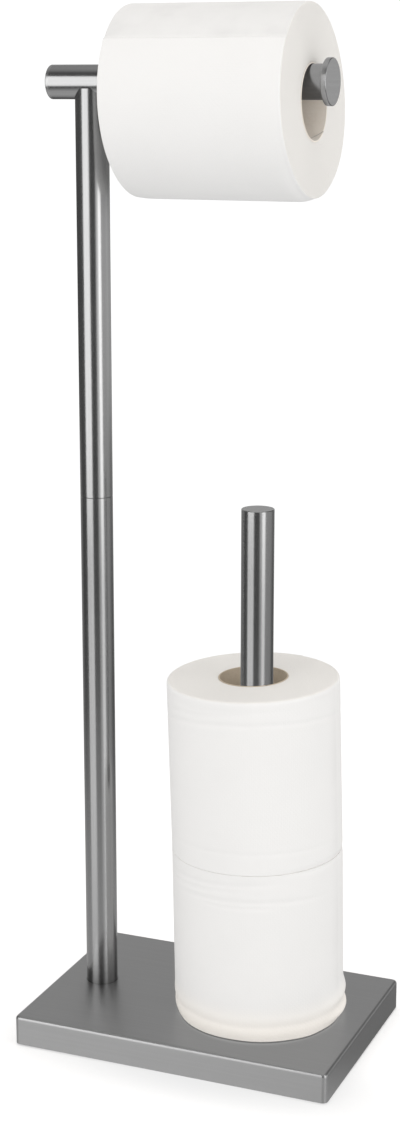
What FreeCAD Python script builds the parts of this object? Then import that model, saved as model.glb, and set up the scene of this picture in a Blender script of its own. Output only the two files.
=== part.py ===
"""Free-standing toilet roll holder with a weighted base, a tall post with an arm, and a spare roll spindle.

Millimetres, +Z up. The origin is on the floor under the middle of the base. +X runs along the arm,
from its short end behind the post towards the stop cap, and +Y points to the back of the stand.
"""
import FreeCAD
import Part
import Sketcher
import os
import re

# Driving dimensions
SIZES = {
    # Base: a folded cover over a ballast slab, on a non-slip pad that stands a little below the rim
    "base_length": 196.0,
    "base_width": 136.0,
    "base_height": 18.5,
    "base_corner_radius": 3.0,
    "base_edge_radius": 2.0,
    "cover_wall": 1.2,
    "cover_inside_radius": 1.8,
    "weight_clearance": 0.5,
    "weight_corner_radius": 2.0,
    "pad_thickness": 2.0,
    "pad_reveal": 1.0,
    "pad_clearance": 0.5,
    # Places of the two uprights along the base
    "post_inset": 26.0,
    "spindle_spacing": 101.0,
    # Base screws, put in from below through the ballast
    "screw_dia": 8.0,
    "screw_head_dia": 14.0,
    "screw_head_flat_dia": 8.5,
    "screw_head_height": 4.4,
    "screw_head_rim": 1.2,
    "screw_tip_chamfer": 0.8,
    "screw_socket_width": 5.0,
    "screw_socket_depth": 2.6,
    "screw_hole_clearance": 0.5,
    "screw_seat_thickness": 6.0,
    "screw_engagement": 14.0,
    "thread_clearance": 0.05,
    "washer_dia": 17.0,
    "washer_thickness": 1.6,
    "washer_hole_clearance": 0.2,
    "counterbore_clearance": 1.5,
    # Tube that the post, the spindle and the arm are all cut from
    "tube_dia": 19.0,
    "tube_wall": 1.2,
    "tube_edge_break": 0.3,
    "insert_clearance": 0.05,
    "lower_tube_length": 305.0,
    "upper_tube_length": 235.5,
    "spindle_length": 305.0,
    "foot_insert_length": 20.0,
    "joint_insert_length": 20.0,
    "joint_stud_dia": 10.0,
    "joint_stud_length": 32.0,
    "joint_stud_chamfer": 1.0,
    "spindle_plug_thickness": 8.0,
    # Saddle joint between the post and the arm
    "cope_clearance": 0.05,
    "cope_tip_drop": 3.6,
    "top_insert_length": 12.0,
    "top_insert_gap": 0.5,
    "arm_bolt_dia": 6.0,
    "arm_bolt_head_dia": 10.0,
    "arm_bolt_head_height": 6.0,
    "arm_bolt_head_chamfer": 0.6,
    "arm_bolt_tip_chamfer": 0.6,
    "arm_bolt_socket_width": 5.0,
    "arm_bolt_socket_depth": 3.0,
    "arm_bolt_engagement": 8.0,
    "arm_bolt_hole_clearance": 0.3,
    "saddle_nut_length": 16.0,
    "saddle_nut_height": 9.0,
    # Arm ends
    "arm_overhang": 24.7,
    "end_plug_thickness": 2.0,
    "end_plug_edge_radius": 0.6,
    "plug_spigot_length": 12.0,
    "stop_cap_lip": 3.2,
    "stop_cap_thickness": 3.3,
    "stop_cap_edge_radius": 0.5,
    # Rolls
    "roll_width": 103.0,
    "hanging_roll_dia": 106.0,
    "spare_roll_dia": 101.0,
    "roll_edge_radius": 3.0,
    "core_bore": 41.0,
    "core_wall": 1.0,
    "core_clearance": 0.05,
    "roll_post_gap": 18.7,
    "roll_cap_gap": 7.8,
    "roll_hang_clearance": 0.3,
}

# Places and sizes worked out from the driving dimensions
BASE_END_X = "(-base_length / 2)"
POST_X = "(post_inset - base_length / 2)"
SPINDLE_X = "(post_inset + spindle_spacing - base_length / 2)"
COVER_HEIGHT = "(base_height - pad_reveal)"
WEIGHT_HEIGHT = "(base_height - cover_wall - pad_thickness)"
COUNTERBORE_DIA = "(washer_dia + 2 * counterbore_clearance)"
SCREW_HOLE_DIA = "(screw_dia + 2 * screw_hole_clearance)"
SCREW_SEAT_Z = "(base_height - cover_wall - screw_seat_thickness)"
SCREW_HEAD_Z = f"({SCREW_SEAT_Z} - washer_thickness - screw_head_height)"
SCREW_GRIP = "(washer_thickness + screw_seat_thickness + cover_wall)"
SCREW_LENGTH = f"(screw_head_height + {SCREW_GRIP} + screw_engagement)"
TUBE_RADIUS = "(tube_dia / 2)"
TUBE_BORE_RADIUS = "(tube_dia / 2 - tube_wall)"
INSERT_RADIUS = "(tube_dia / 2 - tube_wall - insert_clearance)"
JOINT_Z = "(base_height + lower_tube_length)"
ARM_Z = "(base_height + lower_tube_length + upper_tube_length)"
SPINDLE_TOP_Z = "(base_height + spindle_length)"
TOP_INSERT_Z = f"({ARM_Z} - {TUBE_RADIUS} - top_insert_gap - top_insert_length)"
ARM_TUBE_START = "(arm_overhang - end_plug_thickness)"
CAP_REACH = f"({TUBE_RADIUS} + roll_post_gap + roll_width + roll_cap_gap)"
CORE_RADIUS = "(core_bore / 2 + core_wall)"
HANGING_ROLL_X = f"({POST_X} + {TUBE_RADIUS} + roll_post_gap)"
HANGING_ROLL_Z = f"({ARM_Z} + {TUBE_RADIUS} + roll_hang_clearance - core_bore / 2)"

# Sketch references: the origin point, the two sketch axes, and the points of a line or circle
ORIGIN = (-1, 1)
HORIZONTAL_AXIS, VERTICAL_AXIS = range(-1, -3, -1)
START_POINT, END_POINT, CENTRE_POINT = range(1, 4)
# Where sketch geometry is first drawn, before its dimensions take hold
DRAFT_CENTRE = 100.0
DRAFT_RADIUS = 50.0
# Lengths closer than this count as equal when edges are picked
SAME_LENGTH = 1e-4
# Turns a piece built along +Z so that it lies along +X
LYING = FreeCAD.Rotation(FreeCAD.Vector(0, 1, 0), 90)
UPRIGHT = FreeCAD.Rotation()

doc = FreeCAD.newDocument("ToiletRollHolder")
sheet = doc.addObject("Spreadsheet::Sheet", "Sizes")
for row, (size_name, size_value) in enumerate(SIZES.items(), start=1):
    sheet.set(f"A{row}", size_name)
    sheet.set(f"B{row}", str(size_value))
    sheet.setAlias(f"B{row}", size_name)
doc.recompute()

nodes = {}


# Helpers for sheet-driven features

def formula(text):
    """Return an expression in which every size name points at its cell."""
    return re.sub(r"[a-z_]+", lambda word: f"Sizes.{word[0]}" if word[0] in SIZES else word[0], text)


def bind(thing, setting, text):
    """Tie one setting of a document object to the sheet."""
    thing.setExpression(setting, formula(text))


def place(thing, x, y, z, turn=UPRIGHT):
    """Put a document object at a sheet-driven place."""
    thing.Placement = FreeCAD.Placement(FreeCAD.Vector(), turn)
    for axis, text in zip("xyz", (x, y, z)):
        bind(thing, f"Placement.Base.{axis}", text)


def new_body(label, x, z, turn=UPRIGHT):
    """Start a sub-part at a place on the stand's middle plane."""
    body = doc.addObject("PartDesign::Body", label)
    body.Label = label
    place(body, x, "0", z, turn)
    nodes[label] = body
    return body


def new_sketch(body, name, role):
    """Start a sketch on one of a body's own origin planes."""
    sketch = body.newObject("Sketcher::SketchObject", name)
    plane = next(feature for feature in body.Origin.OriginFeatures if feature.Role == role)
    sketch.AttachmentSupport = (plane, [""])
    sketch.MapMode = "FlatFace"
    return sketch


def dimension(sketch, kind, where, draft, text):
    """Add a driving constraint and tie it to the sheet."""
    index = sketch.addConstraint(Sketcher.Constraint(kind, *where, draft))
    bind(sketch, f"Constraints[{index}]", text)


def locate(sketch, point, draft, across, up):
    """Fix a sketch point at its distances from the sketch's origin; a leading minus means the far side."""
    for kind, axis, at, text in (
        ("DistanceX", VERTICAL_AXIS, draft.x, across),
        ("DistanceY", HORIZONTAL_AXIS, draft.y, up),
    ):
        if text == "0":
            sketch.addConstraint(Sketcher.Constraint("PointOnObject", *point, axis))
        elif text.startswith("-"):
            dimension(sketch, kind, (*point, *ORIGIN), -at, text[1:])
        else:
            dimension(sketch, kind, (*ORIGIN, *point), at, text)


def outline(body, name, role, corners):
    """Draw a closed straight-sided outline, each corner given by its two distances from the origin."""
    sketch = new_sketch(body, name, role)
    step = 360.0 / len(corners)
    middle = FreeCAD.Vector(DRAFT_CENTRE, DRAFT_CENTRE, 0)
    arm = FreeCAD.Vector(DRAFT_RADIUS, 0, 0)
    up_axis = FreeCAD.Vector(0, 0, 1)
    drafts = [
        middle + FreeCAD.Rotation(up_axis, index * step).multVec(arm) for index in range(len(corners))
    ]
    for index, draft in enumerate(drafts):
        sketch.addGeometry(Part.LineSegment(draft, drafts[(index + 1) % len(drafts)]))
    for index in range(len(corners)):
        following = (index + 1) % len(corners)
        sketch.addConstraint(Sketcher.Constraint("Coincident", index, END_POINT, following, START_POINT))
    for index, (across, up) in enumerate(corners):
        locate(sketch, (index, START_POINT), drafts[index], across, up)
    return sketch


def circles(body, name, role, places, diameter):
    """Draw equal circles, each centred at its two distances from the origin."""
    sketch = new_sketch(body, name, role)
    draft = FreeCAD.Vector(DRAFT_CENTRE, DRAFT_CENTRE, 0)
    for across, up in places:
        index = sketch.addGeometry(Part.Circle(draft, FreeCAD.Vector(0, 0, 1), DRAFT_RADIUS))
        locate(sketch, (index, CENTRE_POINT), draft, across, up)
        dimension(sketch, "Diameter", (index,), 2 * DRAFT_RADIUS, diameter)
    return sketch


def pad(body, name, sketch, length):
    """Raise a sketch into a solid."""
    feature = body.newObject("PartDesign::Pad", name)
    feature.Profile = sketch
    bind(feature, "Length", length)
    return feature


def pocket(body, name, sketch, length=None, upward=False, both_ways=False):
    """Cut a sketch out of a body, right through where no length is given."""
    feature = body.newObject("PartDesign::Pocket", name)
    feature.Profile = sketch
    feature.Reversed = upward
    feature.SideType = "Symmetric" if both_ways else "One side"
    if length is None:
        feature.Type = "ThroughAll"
    else:
        bind(feature, "Length", length)
    return feature


def round_edges(body, name, radius, chosen):
    """Round the edges of a body's last feature that pass the given test."""
    doc.recompute()
    base = body.Tip
    shape = base.Shape
    picked = [f"Edge{index}" for index, edge in enumerate(shape.Edges, start=1) if chosen(edge, shape)]
    feature = body.newObject("PartDesign::Fillet", name)
    feature.Base = (base, picked)
    bind(feature, "Radius", radius)
    return feature


def is_upright(edge, shape):
    """True for a straight edge that runs the whole height of a block."""
    box = edge.BoundBox
    whole_height = abs(box.ZLength - shape.BoundBox.ZLength) < SAME_LENGTH
    return whole_height and max(box.XLength, box.YLength) < SAME_LENGTH


def is_on_top(edge, shape):
    """True for an edge in the top face."""
    return abs(edge.BoundBox.ZMin - shape.BoundBox.ZMax) < SAME_LENGTH


def is_at_bottom(edge, shape):
    """True for an edge in the bottom face."""
    return abs(edge.BoundBox.ZMax - shape.BoundBox.ZMin) < SAME_LENGTH


def is_inside_corner(edge, shape):
    """True for an upright edge that touches none of a block's outer sides."""
    box = edge.BoundBox
    outer = shape.BoundBox
    clear_x = min(box.XMin - outer.XMin, outer.XMax - box.XMax) > SAME_LENGTH
    clear_y = min(box.YMin - outer.YMin, outer.YMax - box.YMax) > SAME_LENGTH
    return max(box.XLength, box.YLength) < SAME_LENGTH and clear_x and clear_y


def is_outermost(edge, shape):
    """True for a circle as wide as the piece itself."""
    box = edge.BoundBox
    return box.ZLength < SAME_LENGTH and abs(box.XLength - shape.BoundBox.XLength) < SAME_LENGTH


def turned(label, corners, x, z, turn=UPRIGHT):
    """Make a piece by turning an outline of radius and height pairs about the piece's own axis."""
    body = new_body(label, x, z, turn)
    feature = body.newObject("PartDesign::Revolution", f"{label}_turning")
    feature.Profile = outline(body, f"{label}_outline", "XZ_Plane", corners)
    feature.ReferenceAxis = (feature.Profile[0], ["V_Axis"])
    body.Tip = feature
    return body


def ring(label, inner, outer, length, x, z, turn=UPRIGHT):
    """Make a plain ring or sleeve."""
    corners = [(inner, "0"), (outer, "0"), (outer, length), (inner, length)]
    return turned(label, corners, x, z, turn)


def base_rectangle(body, name, margin):
    """Draw the base's outline, moved in by a margin on every side."""
    half_width = f"(base_width / 2 - {margin})"
    far_end = f"(base_length - {margin})"
    front = [(margin, f"-{half_width}"), (far_end, f"-{half_width}")]
    back = [(far_end, half_width), (margin, half_width)]
    return outline(body, name, "XY_Plane", front + back)


def slab(label, margin, height, corner_radius, z):
    """Make a block with rounded corners that keeps a margin all round inside the base's outline."""
    body = new_body(label, BASE_END_X, z)
    pad(body, f"{label}_block", base_rectangle(body, f"{label}_outline", margin), height)
    round_edges(body, f"{label}_corners", corner_radius, is_upright)
    return body


def upright_holes(body, name, diameter, length=None):
    """Cut a hole under the post and one under the spindle, upwards from a base piece's underside."""
    places = [("post_inset", "0"), ("(post_inset + spindle_spacing)", "0")]
    sketch = circles(body, f"{name}_circles", "XY_Plane", places, diameter)
    return pocket(body, name, sketch, length, upward=True)


def hex_socket(body, name, width, depth):
    """Cut a hexagon socket up into the underside of a screw head."""
    feature = body.newObject("PartDesign::SubtractivePrism", name)
    feature.Polygon = 6
    bind(feature, "Circumradius", f"{width} / 2 / cos(30 deg)")
    bind(feature, "Height", depth)
    return feature


# Base

def make_base_cover():
    """Folded stainless shell, open below, with a rounded top edge and two screw holes."""
    cover = slab("base_cover", "0", COVER_HEIGHT, "base_corner_radius", "pad_reveal")
    round_edges(cover, "base_cover_top_edge", "base_edge_radius", is_on_top)
    hollow = base_rectangle(cover, "base_cover_hollow_outline", "cover_wall")
    pocket(cover, "base_cover_hollow", hollow, f"{COVER_HEIGHT} - cover_wall", upward=True)
    round_edges(cover, "base_cover_inside_corners", "cover_inside_radius", is_inside_corner)
    upright_holes(cover, "base_cover_screw_holes", SCREW_HOLE_DIA)


def make_base_weight():
    """Ballast slab that fills the cover, counterbored for the screws."""
    margin = "(cover_wall + weight_clearance)"
    weight = slab("base_weight", margin, WEIGHT_HEIGHT, "weight_corner_radius", "pad_thickness")
    upright_holes(weight, "base_weight_screw_holes", SCREW_HOLE_DIA)
    counterbore_depth = f"{WEIGHT_HEIGHT} - screw_seat_thickness"
    upright_holes(weight, "base_weight_counterbores", COUNTERBORE_DIA, counterbore_depth)


def make_base_pad():
    """Non-slip sheet under the ballast, with openings for the screw heads."""
    margin = "(cover_wall + pad_clearance)"
    sheet_pad = slab("base_pad", margin, "pad_thickness", "weight_corner_radius", "0")
    upright_holes(sheet_pad, "base_pad_screw_openings", COUNTERBORE_DIA)


def make_base_fastening(upright, x):
    """Screw, washer and threaded foot insert that hold one upright to the base."""
    screw_radius = "screw_dia / 2"
    head_radius = "screw_head_dia / 2"
    screw = turned(f"{upright}_base_screw", [
        ("0", "0"),
        ("screw_head_flat_dia / 2", "0"),
        (head_radius, "screw_head_height - screw_head_rim"),
        (head_radius, "screw_head_height"),
        (screw_radius, "screw_head_height"),
        (screw_radius, f"{SCREW_LENGTH} - screw_tip_chamfer"),
        (f"{screw_radius} - screw_tip_chamfer", SCREW_LENGTH),
        ("0", SCREW_LENGTH),
    ], x, SCREW_HEAD_Z)
    hex_socket(screw, f"{upright}_base_screw_socket", "screw_socket_width", "screw_socket_depth")
    washer_hole = "screw_dia / 2 + washer_hole_clearance"
    washer_z = f"{SCREW_SEAT_Z} - washer_thickness"
    ring(f"{upright}_base_washer", washer_hole, "washer_dia / 2", "washer_thickness", x, washer_z)
    thread_radius = "screw_dia / 2 + thread_clearance"
    ring(f"{upright}_foot_insert", thread_radius, INSERT_RADIUS, "foot_insert_length", x, "base_height")


# Post

def tube_outline(length, breaks_foot, breaks_top):
    """Return a tube's section, with its outer end edges broken where they show."""
    broken_radius = f"{TUBE_RADIUS} - tube_edge_break"
    corners = [(TUBE_BORE_RADIUS, "0")]
    if breaks_foot:
        corners += [(broken_radius, "0"), (TUBE_RADIUS, "tube_edge_break")]
    else:
        corners += [(TUBE_RADIUS, "0")]
    if breaks_top:
        corners += [(TUBE_RADIUS, f"{length} - tube_edge_break"), (broken_radius, length)]
    else:
        corners += [(TUBE_RADIUS, length)]
    return corners + [(TUBE_BORE_RADIUS, length)]


def make_post():
    """Two tubes that screw together end to end, the upper one coped round the arm."""
    turned("post_lower_tube", tube_outline("lower_tube_length", False, True), POST_X, "base_height")
    upper_length = "(upper_tube_length - cope_tip_drop)"
    upper = turned("post_upper_tube", tube_outline(upper_length, True, False), POST_X, JOINT_Z)
    arm_centre = ("0", "upper_tube_length")
    saddle_dia = "tube_dia + 2 * cope_clearance"
    saddle = circles(upper, "post_saddle_circle", "YZ_Plane", [arm_centre], saddle_dia)
    pocket(upper, "post_saddle", saddle, "2 * tube_dia", both_ways=True)

    stud_radius = "joint_stud_dia / 2"
    thread_radius = f"{stud_radius} + thread_clearance"
    lower_z = f"{JOINT_Z} - joint_insert_length"
    ring("post_lower_joint_insert", thread_radius, INSERT_RADIUS, "joint_insert_length", POST_X, lower_z)
    ring("post_upper_joint_insert", thread_radius, INSERT_RADIUS, "joint_insert_length", POST_X, JOINT_Z)
    turned("post_joint_stud", [
        ("0", "0"),
        (f"{stud_radius} - joint_stud_chamfer", "0"),
        (stud_radius, "joint_stud_chamfer"),
        (stud_radius, "joint_stud_length - joint_stud_chamfer"),
        (f"{stud_radius} - joint_stud_chamfer", "joint_stud_length"),
        ("0", "joint_stud_length"),
    ], POST_X, f"{JOINT_Z} - joint_stud_length / 2")


# Saddle joint

def make_saddle_joint():
    """Insert in the post's top, and the bolt that pulls a nut inside the arm down on to it."""
    bolt_radius = "arm_bolt_dia / 2"
    bolt_hole = f"{bolt_radius} + arm_bolt_hole_clearance"
    ring("post_top_insert", bolt_hole, INSERT_RADIUS, "top_insert_length", POST_X, TOP_INSERT_Z)

    head_radius = "arm_bolt_head_dia / 2"
    grip = "(top_insert_length + top_insert_gap + tube_wall)"
    length = f"(arm_bolt_head_height + {grip} + arm_bolt_engagement)"
    bolt = turned("arm_bolt", [
        ("0", "0"),
        (f"{head_radius} - arm_bolt_head_chamfer", "0"),
        (head_radius, "arm_bolt_head_chamfer"),
        (head_radius, "arm_bolt_head_height"),
        (bolt_radius, "arm_bolt_head_height"),
        (bolt_radius, f"{length} - arm_bolt_tip_chamfer"),
        (f"{bolt_radius} - arm_bolt_tip_chamfer", length),
        ("0", length),
    ], POST_X, f"{TOP_INSERT_Z} - arm_bolt_head_height")
    hex_socket(bolt, "arm_bolt_socket", "arm_bolt_socket_width", "arm_bolt_socket_depth")

    round_bar = doc.addObject("Part::Cylinder", "saddle_nut_bar")
    bind(round_bar, "Radius", INSERT_RADIUS)
    bind(round_bar, "Height", "saddle_nut_length")
    place(round_bar, f"{POST_X} - saddle_nut_length / 2", "0", ARM_Z, LYING)
    lower_part = doc.addObject("Part::Box", "saddle_nut_lower_part")
    bind(lower_part, "Length", "saddle_nut_length")
    bind(lower_part, "Width", "tube_dia")
    bind(lower_part, "Height", "saddle_nut_height")
    place(lower_part, f"{POST_X} - saddle_nut_length / 2", f"-{TUBE_RADIUS}", f"{ARM_Z} - {INSERT_RADIUS}")
    blank = doc.addObject("Part::Common", "saddle_nut_blank")
    blank.Base = round_bar
    blank.Tool = lower_part
    thread = doc.addObject("Part::Cylinder", "saddle_nut_thread")
    bind(thread, "Radius", f"{bolt_radius} + thread_clearance")
    bind(thread, "Height", "tube_dia")
    place(thread, POST_X, "0", f"{ARM_Z} - {TUBE_RADIUS}")
    nut = doc.addObject("Part::Cut", "arm_saddle_nut")
    nut.Label = "arm_saddle_nut"
    nut.Base = blank
    nut.Tool = thread
    nodes[nut.Label] = nut


# Arm

def make_arm():
    """Lying tube with a bolt hole in its underside, a flush plug behind and a stop cap in front."""
    length = f"({ARM_TUBE_START} + {CAP_REACH})"
    start_x = f"{POST_X} - {ARM_TUBE_START}"
    tube = turned("arm_tube", tube_outline(length, False, False), start_x, ARM_Z, LYING)
    hole_dia = "arm_bolt_dia + 2 * arm_bolt_hole_clearance"
    hole = circles(tube, "arm_bolt_hole_circle", "YZ_Plane", [("0", ARM_TUBE_START)], hole_dia)
    pocket(tube, "arm_bolt_hole", hole, upward=True)

    plug_length = "end_plug_thickness + plug_spigot_length"
    plug = turned("arm_end_plug", [
        ("0", "0"),
        (TUBE_RADIUS, "0"),
        (TUBE_RADIUS, "end_plug_thickness"),
        (INSERT_RADIUS, "end_plug_thickness"),
        (INSERT_RADIUS, plug_length),
        ("0", plug_length),
    ], f"{POST_X} - arm_overhang", ARM_Z, LYING)
    round_edges(plug, "arm_end_plug_edge", "end_plug_edge_radius", is_at_bottom)

    cap_radius = f"{TUBE_RADIUS} + stop_cap_lip"
    cap_length = "plug_spigot_length + stop_cap_thickness"
    cap = turned("arm_stop_cap", [
        ("0", "0"),
        (INSERT_RADIUS, "0"),
        (INSERT_RADIUS, "plug_spigot_length"),
        (cap_radius, "plug_spigot_length"),
        (cap_radius, cap_length),
        ("0", cap_length),
    ], f"{POST_X} + {CAP_REACH} - plug_spigot_length", ARM_Z, LYING)
    round_edges(cap, "arm_stop_cap_edges", "stop_cap_edge_radius", is_outermost)


# Spindle

def make_spindle():
    """Short upright tube for the spare rolls, closed by a disc flush with its top."""
    turned("spindle_tube", tube_outline("spindle_length", False, True), SPINDLE_X, "base_height")
    plug_z = f"{SPINDLE_TOP_Z} - spindle_plug_thickness"
    turned("spindle_top_plug", [
        ("0", "0"),
        (INSERT_RADIUS, "0"),
        (INSERT_RADIUS, "spindle_plug_thickness"),
        ("0", "spindle_plug_thickness"),
    ], SPINDLE_X, plug_z)


# Rolls

def make_roll(name, diameter, x, z, turn=UPRIGHT):
    """Tissue wound on a cardboard core, its outer edges softly rounded."""
    bore = f"{CORE_RADIUS} + core_clearance"
    paper = ring(f"{name}_paper", bore, f"{diameter} / 2", "roll_width", x, z, turn)
    round_edges(paper, f"{name}_paper_edges", "roll_edge_radius", is_outermost)
    ring(f"{name}_core", "core_bore / 2", CORE_RADIUS, "roll_width", x, z, turn)


# Checks and files

def check_document():
    """Stop if an object failed, a sketch is loose, a cut missed or a sub-part is not one sound solid."""
    for thing in doc.Objects:
        if "Invalid" in thing.State or "Error" in thing.State:
            raise RuntimeError(f"{thing.Name} failed: {thing.State}")
        if thing.isDerivedFrom("Sketcher::SketchObject") and not thing.FullyConstrained:
            raise RuntimeError(f"{thing.Name} is not fully constrained")
        if thing.TypeId in ("PartDesign::Pocket", "PartDesign::SubtractivePrism"):
            if thing.Shape.Volume >= thing.BaseFeature.Shape.Volume - SAME_LENGTH:
                raise RuntimeError(f"{thing.Name} removed nothing")
    for label, thing in nodes.items():
        shape = thing.Shape
        if shape.isNull() or not shape.isValid() or len(shape.Solids) != 1:
            raise RuntimeError(f"{label} is not one sound solid")


def write_parts():
    """Write each sub-part to its own file and print its box."""
    os.makedirs("parts", exist_ok=True)
    for label, thing in nodes.items():
        thing.Shape.exportStep(f"parts/{label}.step")
        box = thing.Shape.optimalBoundingBox(False, False)
        corners = (box.XMin, box.YMin, box.ZMin, box.XMax, box.YMax, box.ZMax)
        print(label, " ".join(f"{value:.2f}" for value in corners))


make_base_cover()
make_base_weight()
make_base_pad()
make_base_fastening("post", POST_X)
make_base_fastening("spindle", SPINDLE_X)
make_post()
make_saddle_joint()
make_arm()
make_spindle()
make_roll("hanging_roll", "hanging_roll_dia", HANGING_ROLL_X, HANGING_ROLL_Z, LYING)
make_roll("lower_spare_roll", "spare_roll_dia", SPINDLE_X, "base_height")
make_roll("upper_spare_roll", "spare_roll_dia", SPINDLE_X, "base_height + roll_width")
doc.recompute()
check_document()
write_parts()
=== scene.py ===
"""A free-standing toilet roll holder: brushed steel stand, three tissue rolls and a white studio."""

import logging
import math
from collections.abc import Callable, Mapping, Sequence
from dataclasses import dataclass, field
from enum import Enum
from functools import reduce
from typing import NamedTuple, Optional, Union

import bmesh
import bpy
from mathutils import Matrix, Vector, noise


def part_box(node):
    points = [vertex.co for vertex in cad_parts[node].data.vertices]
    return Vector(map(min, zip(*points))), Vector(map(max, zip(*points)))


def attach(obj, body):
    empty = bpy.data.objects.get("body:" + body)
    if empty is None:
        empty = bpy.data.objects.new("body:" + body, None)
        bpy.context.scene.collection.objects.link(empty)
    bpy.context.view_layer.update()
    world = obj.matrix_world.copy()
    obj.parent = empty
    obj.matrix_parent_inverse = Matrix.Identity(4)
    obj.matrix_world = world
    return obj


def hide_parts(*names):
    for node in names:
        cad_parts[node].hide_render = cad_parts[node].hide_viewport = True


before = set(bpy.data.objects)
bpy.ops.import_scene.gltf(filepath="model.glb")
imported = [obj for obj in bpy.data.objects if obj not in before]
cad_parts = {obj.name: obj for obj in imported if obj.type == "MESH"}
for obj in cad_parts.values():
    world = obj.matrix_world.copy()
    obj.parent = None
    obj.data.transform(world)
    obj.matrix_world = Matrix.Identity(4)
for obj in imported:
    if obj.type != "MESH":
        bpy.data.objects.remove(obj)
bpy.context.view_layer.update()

log = logging.getLogger("toilet_roll_holder")

MM = 0.001
WELD = 0.001 * MM
HALF_TURN = 0.5

BLACK = (0.0, 0.0, 0.0)
WHITE = (1.0, 1.0, 1.0)
STEEL = (0.60, 0.60, 0.60)
CAP_STEEL = (0.64, 0.64, 0.64)
DISC_STEEL = (0.68, 0.68, 0.68)
PAPER = (0.90, 0.895, 0.885)

CORE_PITCH = 96.0 * MM
HANGING_TAIL = 51.0

Span = tuple[float, float]
Colour = tuple[float, float, float]
Material = bpy.types.Material
NodeTree = bpy.types.NodeTree
Outputs = bpy.types.NodeOutputs
Socket = bpy.types.NodeSocket
Feed = Union[float, Sequence[float], Socket]
Inputs = Mapping[Union[str, int], Feed]


class GrainAxis(Enum):
    """Which way brushed lines run: how many lie in a metre along X, Y and Z."""

    ALONG_X = (25.0, 3200.0, 3200.0)
    ALONG_Y = (3200.0, 25.0, 3200.0)
    ALONG_Z = (3200.0, 3200.0, 25.0)


class RollLay(Enum):
    """How a roll sits: the world directions of its own X, Y and Z, where Z is its axis."""

    HANGING = ((0.0, 0.0, 1.0), (0.0, -1.0, 0.0), (1.0, 0.0, 0.0))
    UPRIGHT = ((1.0, 0.0, 0.0), (0.0, 1.0, 0.0), (0.0, 0.0, 1.0))


def smooth_step(low: float, high: float, value: float) -> float:
    """Rise smoothly from 0 to 1 while a value goes from low to high."""
    share = min(1.0, max(0.0, (value - low) / (high - low)))
    return share * share * (3.0 - 2.0 * share)


def spaced(first: float, last: float, count: int) -> list[float]:
    """Place a number of points evenly from first to last, both included."""
    return [first + (last - first) * step / (count - 1) for step in range(count)]


def on_circle(angle: float, radius: float = 1.0, height: float = 0.0) -> Vector:
    """Place a point round the Z axis, at an angle from X in radians."""
    return Vector((radius * math.cos(angle), radius * math.sin(angle), height))


def opaque(colour: Colour, gain: float = 1.0) -> tuple[float, float, float, float]:
    """Give a colour full opacity, and make it lighter by a gain over 1 or darker by one under 1."""
    return (*(min(1.0, part * gain) for part in colour), 1.0)


def put_in_scene(name: str, data: bpy.types.ID) -> bpy.types.Object:
    """Make the object for a mesh, a light or a camera.

    Args:
        name: The object's name.
        data: What it holds.

    Returns:
        The object, in the scene.
    """
    thing = bpy.data.objects.new(name, data)
    bpy.context.scene.collection.objects.link(thing)
    return thing


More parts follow.
